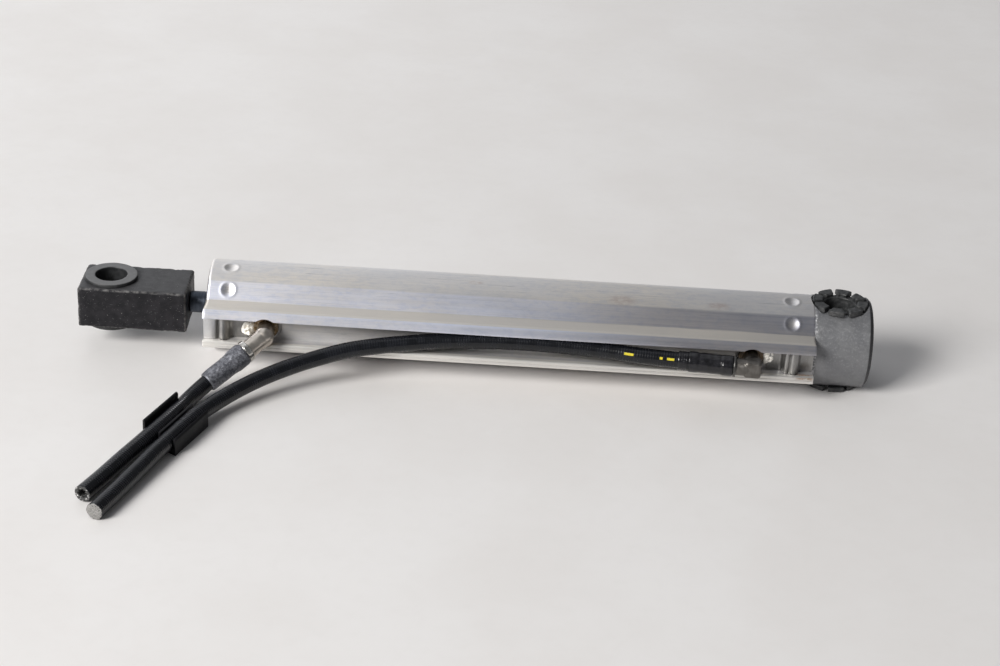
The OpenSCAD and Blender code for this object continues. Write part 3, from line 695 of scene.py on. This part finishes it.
# ---------------------------------------------------------------- barrel
def barrel():
    a0 = math.degrees(math.atan2(9.62, 14.26))
    arc = [(-17.2 * math.sin(math.radians(a)), 17.2 * math.cos(math.radians(a))) for a in np.linspace(a0, a0 - 248.0, 260)]
    lip = [(-21.1 + 3.05 * math.cos(math.radians(a)), 4.9 + 3.05 * math.sin(math.radians(a))) for a in np.linspace(172, 78, 14)]
    low = [(-14.86, -8.62), (-22.6, -7.3), (-23.7, -7.2), (-24.1, -6.8), (-24.1, -5.9), (-23.85, -5.7), (-24.1, -5.5),
           (-24.1, -4.6), (-23.8, -4.3), (-22.9, -4.3), (-22.5, -4.4), (-22.3, -4.8), (-17.5, -4.8), (-17.5, 5.1), (-24.1, 5.1)]
    pts = arc + low + lip + [(-19.5, 7.75), (-14.86, 8.62)]
    rad = [0.0] * len(pts)
    rad[0] = rad[len(arc) - 1] = 0.0
    k = len(arc)
    for i, r in enumerate((0.9, 0.5, 0.3, 0.3, 0.05, 0.05, 0.05, 0.2, 0.2, 0.15, 0.1, 0.3, 0.5, 0.4, 0.3)):
        rad[k + i] = r
    rad[-1] = 0.9
    pts = split(fillet(pts, rad, 4), 0.42)
    P = np.array(pts)
    nxt, prv = np.roll(P, -1, 0), np.roll(P, 1, 0)
    tan = nxt - prv
    nor = np.c_[-tan[:, 1], tan[:, 0]] / np.linalg.norm(tan, axis=1)[:, None]
    area = 0.5 * np.sum(P[:, 0] * nxt[:, 1] - nxt[:, 0] * P[:, 1])
    if area > 0:
        nor = -nor                      # outward
    xs = {X_ROD + 1.4, X_BASE - 0.7}
    xs |= set(np.linspace(X_ROD + 1.4, X_BASE - 0.7, 64))
    for c in STAKE_X:
        xs |= set(np.arange(c - 4.2, c + 4.21, 0.24))
    xs = [x for x in sorted(xs) if X_ROD + 1.3 < x < X_BASE - 0.6]
    kept = [xs[0]]
    for x in xs[1:]:
        if x - kept[-1] > 0.12:
            kept.append(x)
    ends = [(X_ROD, 0.95), (X_ROD + 0.10, 0.62), (X_ROD + 0.42, 0.28), (X_ROD + 0.80, 0.06), (X_ROD + 1.1, 0.0)]
    ends2 = [(X_BASE - 0.42, 0.0), (X_BASE - 0.2, 0.05), (X_BASE - 0.05, 0.2), (X_BASE, 0.34)]
    rings = ends + [(x, 0.0) for x in kept] + ends2
    verts = []
    m = len(P)
    depth, rho = 0.60, 2.75
    ang = np.degrees(np.arctan2(-P[:, 0], P[:, 1]))
    rr = np.hypot(P[:, 0], P[:, 1])
    on_round = np.abs(rr - 17.2) < 0.06
    nf, tf, mid = np.array((-0.7312, 0.6822)), np.array((-0.6822, -0.7312)), np.array((-11.858, 11.858))
    on_flat = (np.abs(P @ nf - 16.76) < 0.05) & (np.abs((P - mid) @ tf) < 4.4)
    for x, inset in rings:
        Q = P.copy()
        if inset:
            wob = np.array([1 + 0.35 * noise.noise(Vector((p[0] * 0.35, p[1] * 0.35, x * 0.01))) + 0.22 * noise.noise(Vector((p[0] * 1.4, p[1] * 1.4, 3.3))) for p in P])
            # the thin rails and tight corners of the channel keep their outline
            least = np.where(P[:, 1] > 5.2, 0.15, 0.03)
            small = least + (1 - least) * np.clip((P[:, 0] + 19.5) / 4, 0, 1)
            small = np.where((P[:, 0] < -17.0) & (np.abs(P[:, 1]) < 5.2), 0.03, small)
            Q = P - nor * (inset * wob * small)[:, None]
        for c in STAKE_X:
            if abs(x - c) > 4.6:
                continue
            for a in STAKES:
                flat = a == 45
                da = (ang - a + 180) % 360 - 180
                s = (P - mid) @ tf if flat else np.radians(da) * 17.2
                d = np.hypot(s, x - c)
                q = np.clip(1 - (d / rho) ** 2, 0, None)
                h = -depth * q ** 1.55 + 0.07 * np.exp(-((d - rho - 0.15) / 0.55) ** 2)
                h = np.where(on_flat if flat else on_round, h, 0.0)
                Q += (np.tile(nf, (m, 1)) if flat else np.c_[P[:, 0] / rr, P[:, 1] / rr]) * h[:, None]
        verts += [(x, q[0], q[1]) for q in Q]
    faces = [(i * m + j, i * m + (j + 1) % m, (i + 1) * m + (j + 1) % m, (i + 1) * m + j) for i in range(len(rings) - 1) for j in range(m)]
    faces += [tuple(range(m)), tuple(range((len(rings) - 1) * m, len(rings) * m))]
    ob = finish_mesh(make("extruded_barrel", verts, faces), 60)
    cut(ob, rod_between("c", (X_ROD - 2, 0, 0), (1, 0, 0), 14, 236, 160))
    for x in PORTS:
        cut(ob, rod_between("c", (x, -12, 0.4), (0, -1, 0), 3.3, 12, 64))
        cut(ob, lathe("c", [(0, -17.3), (5.6, -17.3), (5.8, -17.5), (5.8, -30), (0, -30)], (x, 0, 0.4), (0, 1, 0), 96, False))
    for s in (15.2, -25.2):
        cut(ob, rod_between("c", (0, 0, s), (0, 0, 1), 11.2, 10, 128))
    return place(ob, "barrel", "barrel_aluminium", "barrel", angle=38)


barrel()


# ---------------------------------------------------------------- base cap with its castellated bushes
def base_cap():
    prof = [(0, -29), (8.4, -29), (8.4, -39.98), (12, -39.98), (12, -27.9), (13.96, -27.9), (13.96, -26.3), (12, -26.3),
            (12, -23.1), (13.96, -23.1), (13.96, -21.2), (12.8, -21.2), (12.8, -16.2), (13.96, -16.2), (13.96, -10.1),
            (17.4, -10.1), (17.4, 10.9), (16, 12.3), (0, 12.3)]
    rad = [0, .3, .3, .4, .2, .2, .2, .2, .2, .2, .2, .2, .2, .2, .1, .35, .45, .7, 0]
    prof = split(fillet(prof, rad, 4, False), 0.8, False)
    ob = lathe("cast_base_cap", prof, n=288, closed=False)

    def outside(c):
        r = math.hypot(c.y, c.z)
        return 1.0 if c.x > -9.9 and (r > 15 or c.x > 12) else 0.0
    for v in ob.data.vertices:
        c = v.co / MM
        if outside(c):
            r = math.hypot(c.y, c.z) or 1
            h = 0.11 * noise.noise(c / 6.0) + 0.05 * noise.noise(c / 1.5) - 0.06
            if abs(c.x) < 11:
                v.co += Vector((0, c.y / r, c.z / r)) * h * MM
            else:
                v.co += Vector((0.4, c.y / r, c.z / r)) * abs(h) * -MM * 0.6
    cut(ob, rod_between("c", (0, 0, -20), (0, 0, 1), 7.5, 40, 96))
    for s in (15.2, -25.2):
        cut(ob, rod_between("c", (0, 0, s), (0, 0, 1), 11.2, 10, 128))
    return place(ob, "barrel", "cast_cap", "base_cap", angle=40)


base_cap()


def base_bush(name, node, sign, turn):
    """Sleeve whose collar is cut into eight separate lobes."""
    ob = lathe(name, fillet([(6, 0.1), (7.48, 0.1), (7.48, 15.2), (8.2, 15.2), (8.2, 15.7), (6, 15.7)],
                            [.3, .2, .1, .1, .15, .3], 3), d=(0, 0, 1), n=128)
    verts, faces = [[tuple(v.co / MM) for v in ob.data.vertices], [tuple(p.vertices) for p in ob.data.polygons]]
    bpy.data.objects.remove(ob)
    prof = split(fillet([(6.4, 15.22), (10.4, 15.22), (10.7, 15.5), (10.7, 17.1), (10.4, 17.4), (6.9, 17.4), (6.4, 16.9)],
                        [0, .15, .2, .25, .25, .35, .3], 3), 0.5)
    cr, cz = 8.6, 16.3
    steps = np.linspace(0, 1, 21)
    for lobe in range(8):
        j1, j2, j3 = (noise.noise(Vector((lobe * 3.1, sign * 2, k))) for k in (0.5, 7.5, 13.5))
        base = len(verts)
        for s in steps:
            # the ends of each lobe are rounded by shrinking its outline
            e = min(s, 1 - s) * (math.radians(45) * 8.6)
            k = 1 - 0.16 * max(0, 1 - e / 0.55) ** 2
            for r, z in prof:
                half = math.asin((0.8 + 0.12 * j1) / r)
                c0 = math.radians(turn + 45 * lobe)
                lo, hi = c0 + half, c0 + math.radians(45) - half
                a = lo + (hi - lo) * s
                r2 = cr + (r - cr) * k - 0.12 * abs(j2)
                z2 = cz + (z - cz) * k - (z - 15.2) * 0.09 * abs(j3)
                verts.append((r2 * math.cos(a), r2 * math.sin(a), z2))
        m = len(prof)
        for i in range(len(steps) - 1):
            faces += [(base + i * m + j, base + i * m + (j + 1) % m, base + (i + 1) * m + (j + 1) % m, base + (i + 1) * m + j) for j in range(m)]
        faces += [tuple(base + j for j in range(m)), tuple(base + (len(steps) - 1) * m + j for j in range(m))]
    ob = make(name, [(x, y, z * sign) for x, y, z in verts], faces)
    finish_mesh(ob)
    for v in ob.data.vertices:
        c = v.co / MM
        if abs(c.z) > 15.8:
            h = 0.10 * noise.noise(c / 0.9) + 0.10 * noise.noise(c / 2.4 + Vector((5, 5, 5))) - 0.12
            v.co += v.normal * h * MM
    return place(ob, "barrel", "black_plastic", node, mats=[BUSH_BLACK], angle=42)


base_bush("castellated_bush_upper", "base_bush_upper", 1, 9)
base_bush("castellated_bush_lower", "base_bush_lower", -1, 30)


# ---------------------------------------------------------------- rod end
def rod_end():
    x0, x1, w, h, c = X_BLOCK - 41.7, X_BLOCK, 11.25, 8.3, 0.95
    nx, ny, nz = 44, 26, 20
    bm = bmesh.new()
    bmesh.ops.create_cube(bm, size=1.0)
    for v in bm.verts:
        v.co = Vector(((x0 + x1) / 2 + v.co.x * (x1 - x0), v.co.y * 2 * w, v.co.z * 2 * h))
    me = bpy.data.meshes.new("steel_rod_end")
    bm.to_mesh(me)
    bm.free()
    ob = bpy.data.objects.new("steel_rod_end", me)
    scene.collection.objects.link(ob)
    me.transform(Matrix.Scale(MM, 4))
    bevelled(ob, c, 5, 30)
    bm = bmesh.new()
    bm.from_mesh(ob.data)
    for axis, n in ((0, nx), (1, ny), (2, nz)):
        lo = min(v.co[axis] for v in bm.verts)
        hi = max(v.co[axis] for v in bm.verts)
        for i in range(1, n):
            p, no = Vector((0, 0, 0)), Vector((0, 0, 0))
            p[axis], no[axis] = lo + c * MM + (hi - lo - 2 * c * MM) * i / n, 1
            bmesh.ops.bisect_plane(bm, geom=bm.verts[:] + bm.edges[:] + bm.faces[:], plane_co=p, plane_no=no)
    bm.to_mesh(ob.data)
    bm.free()
    finish_mesh(ob)
    # the forged edges wander a little, and the faces are not quite flat
    for v in ob.data.vertices:
        q = v.co / MM
        dx, dy, dz = min(q.x - x0, x1 - q.x), w - abs(q.y), h - abs(q.z)
        near = sorted((dx, dy, dz))
        edge = max(0.0, 1 - near[1] / 1.8)
        chip = max(0.0, noise.noise(q * 0.9 + Vector((3, 1, 8)))) * 0.34 + max(0.0, noise.noise(q * 0.33)) * 0.30
        inward = Vector((0, 0, 0))
        if dx < 1.3:
            inward.x = 1 if q.x < (x0 + x1) / 2 else -1
        if dy < 1.3:
            inward.y = -math.copysign(1, q.y)
        if dz < 1.3:
            inward.z = -math.copysign(1, q.z)
        v.co += inward * (edge * chip + 0.05 * (0.5 + 0.5 * noise.noise(q * 0.6))) * MM
    cut(ob, rod_between("c", (X_EYE, 0, -12), (0, 0, 1), 7, 24, 96))
    cut(ob, rod_between("c", (-268, 0, 0), (1, 0, 0), 3.43, 20, 64))
    wear = ob.data.attributes.new("wear", "FLOAT", "POINT")
    vals = []
    for v in ob.data.vertices:
        q = v.co / MM
        near = sorted((min(q.x - x0, x1 - q.x), w - abs(q.y), h - abs(q.z)))
        vals.append(max(0.0, 1 - near[1] / 1.0) if near[0] < 1.5 else 0.0)
    wear.data.foreach_set("value", np.array(vals, np.float32))
    place(ob, "rod", "black_steel", "rod_end_block", angle=34)
    for nm, node, s in (("rod_eye_bush_upper", "rod_end_bush_upper", 1), ("rod_eye_bush_lower", "rod_end_bush_lower", -1)):
        prof = fillet([(6, 0.1), (6.98, 0.1), (6.98, 8.3), (10.15, 8.3), (10.15, 9.75), (6, 9.75)], [.1, .1, .1, .15, .4, .45], 4)
        b = lathe(nm, split([(r, t * s) for r, t in prof], 0.7), (X_EYE, 0, 0), (0, 0, 1), 128)
        rough_up(b, 0.05, 2.5, 5 + s, keep=lambda c: 1.0 if abs(c.z) > 9.0 else 0.0)
        place(b, "rod", "grey_polymer", node, angle=38)
    rod = lathe("chromed_piston_rod", split(fillet([(0, -266.8), (2.8, -266.8), (3.4, -266.2), (3.4, -250.3), (3.75, -250.3), (4.15, -249.9), (4.15, -60),
                                                    (3.4, -60), (3.4, -40), (3, -40), (3, -33.2), (2.4, -32.6), (0, -32.6)],
                                                   [0, .1, .1, .1, .1, .25, .2, .1, .1, .1, .1, .1, 0], 3, False), 6, False), n=128, closed=False)
    place(rod, "rod", "rod_chrome", "piston_rod", angle=30)
    x = -40
    nut = [(7.5 * math.cos(math.radians(30 + 60 * k)), 7.5 * math.sin(math.radians(30 + 60 * k))) for k in range(6)]
    verts = [(x + t, a, b) for t in (0, 6.4) for a, b in nut]
    faces = [tuple(range(6)), tuple(range(6, 12))] + [(i, (i + 1) % 6, 6 + (i + 1) % 6, 6 + i) for i in range(6)]
    ob = finish_mesh(make("hex_piston_nut", verts, faces))
    bevelled(ob, 0.45, 3, 30)
    cut(ob, rod_between("c", (x - 1, 0, 0), (1, 0, 0), 3.02, 9, 48))
    place(ob, "rod", "zinc_steel", "piston_nut")


rod_end()


# ---------------------------------------------------------------- channel strips
def strip(name, node, pts):
    path = smooth_path([(a, b, 0) for a, b in pts], 0.3)
    t = 0.4
    n = len(path)
    left, right = [], []
    for i, p in enumerate(path):
        d = (path[min(i + 1, n - 1)] - path[max(i - 1, 0)]).normalized()
        q = Vector((-d.y, d.x, 0))
        left.append((p.x + q.x * t, p.y + q.y * t))
        right.append((p.x - q.x * t, p.y - q.y * t))
    ob = prism(name, left + right[::-1], -4.6, 4.9)
    bevelled(ob, 0.16, 2, 50)
    return place(ob, "barrel", "clip_steel", node, angle=24)


strip("rod_end_channel_strip", "rod_end_channel_clip", [(-242, -20.9), (-238.3, -20.9), (-237.4, -20.5), (-236.8, -20.1), (-236.2, -20.6),
      (-235.5, -21.6), (-234.6, -22), (-233.7, -21.6), (-233, -20.6), (-232.5, -19.4), (-231.8, -18.4), (-230.8, -18.05), (-225.4, -18.05)])
strip("base_end_channel_strip", "base_end_channel_clip", [(-27.6, -18.05), (-22.9, -18.05), (-22.1, -18.5), (-21.5, -19.6), (-20.9, -20.7),
      (-20.2, -21), (-19.6, -20.6), (-19.1, -21.1), (-18.4, -21.8), (-17.5, -22), (-16.7, -21.5), (-16.2, -20.4), (-15.8, -19.2),
      (-15.2, -18.3), (-14.2, -18.05), (-10.2, -18.05)])


# ---------------------------------------------------------------- fittings
def elbow(name, node, slot, k, d, out, bend, boxy, leg):
    route = [Vector((k.x, -14.45, k.z)), k, k + d * out]
    pts = [Vector(p) for p in split(fillet([tuple(p) for p in route], bend, 14, False), 0.8, False)]
    knee = -k.y - 14.45
    ob, _ = tube(name, pts, lambda s: 3.25 + (leg - 3.25) * min(1, max(0, (s - knee + 4) / 3)), 56,
                 start=[(-0.0, 1.4), (-0.0, 2.6), (-0.0, 3.1)], end=[(0.0, leg - 0.1), (0.12, leg - 0.3), (0.12, 1.4)])
    finish_mesh(ob)
    # shoulder ring that seats in the spot face of the port
    ring = lathe("r", fillet([(3.0, -17.5), (4.75, -17.5), (4.75, -19.3), (3.0, -19.3)], [0, .3, .3, 0], 3), (k.x, 0, k.z), (0, 1, 0), 72)
    cut(ob, ring, "UNION")
    if boxy:
        bm = bmesh.new()
        bmesh.ops.create_cube(bm, size=1.0)
        me = bpy.data.meshes.new("b")
        bm.to_mesh(me)
        bm.free()
        box = bpy.data.objects.new("b", me)
        scene.collection.objects.link(box)
        me.transform(Matrix.Translation((k + Vector((0.05, 0.35, 0)))  * MM) @ Matrix.Rotation(math.radians(-4), 4, "Z") @ Matrix.Diagonal((6.5 * MM, 6.3 * MM, 6.7 * MM, 1)))
        bevelled(box, 1.25, 4, 30)
        cut(ob, box, "UNION")
    else:
        ball = lathe("b", [(3.86 * math.sin(a), -3.86 * math.cos(a)) for a in np.linspace(0, math.pi, 25)], k + Vector((0.1, 0.5, 0)), (0, 1, 0), 64, False)
        cut(ob, ball, "UNION")
    # melt the joins together the way a forging runs
    for kind, settings in (("REMESH", {"mode": "VOXEL", "voxel_size": 0.16 * MM}), ("SMOOTH", {"factor": 0.5, "iterations": 7})):
        mod = ob.modifiers.new("m", kind)
        for key, value in settings.items():
            setattr(mod, key, value)
    applied(ob)
    return place(ob, "barrel", slot, node, angle=60)


elbow("front_elbow_fitting", "front_port_elbow", "nickel_elbow", K_F, D_F, 9.5, 3.6, False, 3.5)
elbow("rear_elbow_fitting", "rear_port_elbow", "rear_elbow_metal", K_R, D_R, 7.1, 3.6, True, 3.25)


def turned(name, node, slot, k, d, prof, rad, mats=None, bumps=None, n=72, step=0.6, body="barrel"):
    ob = lathe(name, split(fillet(prof, rad, 4), step), k, d, n)
    if bumps:
        rough_up(ob, *bumps, keep=lambda c: 1.0 if (c - k - d * (c - k).dot(d)).length > 3.4 else 0.0)
    return place(ob, body, slot, node, mats=mats, angle=34)


turned("front_swage_collar", "front_hose_collar", "nickel_elbow", K_F, D_F, [(3.53, 7.4), (4.3, 7.4), (4.3, 9.6), (3.53, 9.6)], [0, .4, .25, 0], mats=[COLLAR])
turned("front_crimp_ferrule", "front_hose_ferrule", "ferrule_steel", K_F, D_F,
       [(3.14, 9.7), (4.2, 9.7), (4.45, 10.5), (4.42, 14.6), (4.12, 16.4), (3.98, 21), (3.85, 27), (3.62, 27.4), (3.14, 27.4)],
       [0, .2, .5, .8, .8, .8, .3, .15, 0], bumps=(0.16, 3.2, 4, 0.08, 1.0), n=96, step=0.45)
turned("rear_swage_collar", "rear_hose_collar", "nickel_elbow", K_R, D_R, [(3.28, 6.2), (4.15, 6.2), (4.15, 7.15), (3.28, 7.15)], [0, .25, .25, 0], mats=[SHADED_REAR_COLLAR])
turned("rear_crimp_ferrule", "rear_hose_ferrule", "crimp_black", K_R, D_R,
       [(3.14, 7.25), (3.7, 7.25), (4, 7.7), (4, 11), (3.8, 12), (3.8, 20), (3.95, 21), (3.95, 24), (3.14, 24)],
       [0, .15, .25, .3, .3, .4, .3, .2, 0], bumps=(0.10, 2.2, 9, 0.05, 0.8), n=96, step=0.45)
ridges = [(3.14, 24.05), (3.62, 24.05)]
for q in range(4):
    t = 24.4 + q * 0.92
    ridges += [(3.60, t), (3.76, t + 0.16), (3.76, t + 0.34), (3.60, t + 0.5)]
ridges += [(3.55, 28), (3.14, 28)]
turned("rear_hose_sleeve_ribbed", "rear_hose_sleeve", "crimp_black", K_R, D_R, ridges, 0.06, step=0.5)


# ---------------------------------------------------------------- dried sealant beside the port stems
def sealant(name, centre, sx, sz, seed, tall):
    """Thin flaky patch on the back wall of the channel."""
    n, m = 40, 9
    verts, faces = [], []
    for j in range(m + 1):
        f = j / m
        for i in range(n):
            a = 2 * math.pi * i / n
            w = 1 + 0.34 * noise.noise(Vector((math.cos(a) * 1.6, math.sin(a) * 1.6, seed))) + 0.20 * noise.noise(Vector((math.cos(a) * 5, math.sin(a) * 5, seed + 4)))
            x, z = f * w * sx * math.cos(a), f * w * sz * math.sin(a)
            h = tall * (0.72 + 0.6 * noise.noise(Vector((x * 0.9, z * 0.9, seed + 2)))) * (1 - f ** 5)
            verts.append((centre[0] + x, -17.52 - max(0.04, h), min(4.95, centre[1] + z)))
    for j in range(m):
        faces += [(j * n + i, j * n + (i + 1) % n, (j + 1) * n + (i + 1) % n, (j + 1) * n + i) for i in range(n)]
    rim = len(verts)
    verts += [(v[0], -17.5, v[2]) for v in verts[m * n:(m + 1) * n]]
    faces += [(m * n + i, m * n + (i + 1) % n, rim + (i + 1) % n, rim + i) for i in range(n)]
    faces += [tuple(range(rim, rim + n))]
    ob = make(name, verts, faces)
    return place(ob, "barrel", None, mats=[FLAKE], angle=50)


sealant("dried_sealant_front", (-225.4, -0.9), 2.8, 3.1, 1.0, 3.0)
sealant("dried_sealant_rear", (-27.2, 0.6), 3.1, 2.9, 6.0, 1.6)

# ---------------------------------------------------------------- finishes for the CAD nodes that stay
slots = {s["node"]: s["material_slot"] for s in frame["record"].get("subparts", []) if "node" in s} if isinstance(frame["record"].get("subparts"), list) else {}
FINISH = {
    "base_cap_o_ring": "seal_rubber", "gland": "turned_aluminium", "gland_o_ring": "seal_rubber", "gland_bearing": "bearing_bronze",
    "rod_seal": "seal_polymer", "rod_wiper": "seal_rubber", "piston": "turned_aluminium", "piston_o_ring": "seal_rubber",
    "piston_seal": "seal_polymer", "piston_guide_ring_front": "guide_ring_phenolic", "piston_guide_ring_rear": "guide_ring_phenolic",
    "front_port_o_ring": "seal_rubber", "rear_port_o_ring": "seal_rubber"}
for node, ob in frame["nodes"].items():
    if not ob.hide_render:
        mat = MAT[FINISH[node]]
        if ob.material_slots:
            for s in ob.material_slots:
                s.material = mat
        else:
            ob.data.materials.append(mat)


# ---------------------------------------------------------------- floor and light
def stage():
    z = cad_bounds[0][2] - 0.00002
    me = bpy.data.meshes.new("floor")
    me.from_pydata([(-3, -3, z), (3, -3, z), (3, 3, z), (-3, 3, z)], [], [(0, 1, 2, 3)])
    floor = bpy.data.objects.new("floor", me)
    scene.collection.objects.link(floor)
    m = Mat("pale_table", Roughness=0.5)
    a = m.noise(60, detail=3)
    b = m.noise(5, detail=4, offset=(4, 4, 0))
    col = m.mix(m.band(a, 0.3, 0.7), (0.80, 0.78, 0.765), (0.83, 0.815, 0.805))
    col = m.mix(m.band(b, 0.4, 0.8, 0.0, 0.12), col, (0.72, 0.70, 0.68))
    # painted light: the table is painted a little darker towards the right and brighter towards the back, standing in
    # for the fall-off of the lamp
    col = m.mix(1.0, col, m.mix(m.band(m.xyz()[0], -0.42, 0.10), (1.0, 1.0, 1.0), (0.91, 0.91, 0.91)), "MULTIPLY")
    back = m.band(m.xyz()[1], 0.0, 0.5)
    col = m.mix(1.0, col, m.mix(back, (1.0, 1.0, 1.0), (1.13, 1.13, 1.13)), "MULTIPLY")
    m.set(Base_Color=col, Normal=m.bump(b, 0.05, 0.1))
    me.materials.append(m.m)

    def area(name, loc, size, power, colour, aim=(-0.13, 0, 0)):
        d = bpy.data.lights.new(name, "AREA")
        d.shape, d.size, d.size_y, d.energy, d.color = "RECTANGLE", size[0], size[1], power, colour
        o = bpy.data.objects.new(name, d)
        scene.collection.objects.link(o)
        o.location = loc
        o.rotation_euler = (Vector(aim) - Vector(loc)).to_track_quat("-Z", "Y").to_euler()
    area("key", (-2.36, -2.14, 1.90), (1.47, 1.47), 172.0, (1.0, 0.985, 0.965))
    world = bpy.data.worlds.new("studio")
    scene.world = world
    world.use_nodes = True
    t = world.node_tree
    bg = t.nodes["Background"]
    # soft room with a paler band from the wall behind up to the ceiling, a little to the left
    co = t.nodes.new("ShaderNodeTexCoord")
    sep = t.nodes.new("ShaderNodeSeparateXYZ")
    t.links.new(co.outputs["Generated"], sep.inputs[0])

    def step(src, lo, hi, a, b):
        n = t.nodes.new("ShaderNodeMapRange")
        n.interpolation_type = "SMOOTHSTEP"
        for i, v in ((1, lo), (2, hi), (3, a), (4, b)):
            n.inputs[i].default_value = v
        t.links.new(src, n.inputs[0])
        return n.outputs[0]

    def op(kind, a, b):
        n = t.nodes.new("ShaderNodeMath")
        n.operation = kind
        for i, v in ((0, a), (1, b)):
            if hasattr(v, "is_output"):
                t.links.new(v, n.inputs[i])
            else:
                n.inputs[i].default_value = v
        return n.outputs[0]
    side = op("ABSOLUTE", op("ADD", sep.outputs["X"], 0.28), 0.0)
    glow = op("MULTIPLY", step(side, 0.10, 0.55, 0.70, 0.0), step(sep.outputs["Y"], -0.35, 0.15, 0.0, 1.0))
    t.links.new(op("ADD", glow, 0.15), bg.inputs[1])
    bg.inputs[0].default_value = (0.95, 0.965, 1.0, 1)


stage()
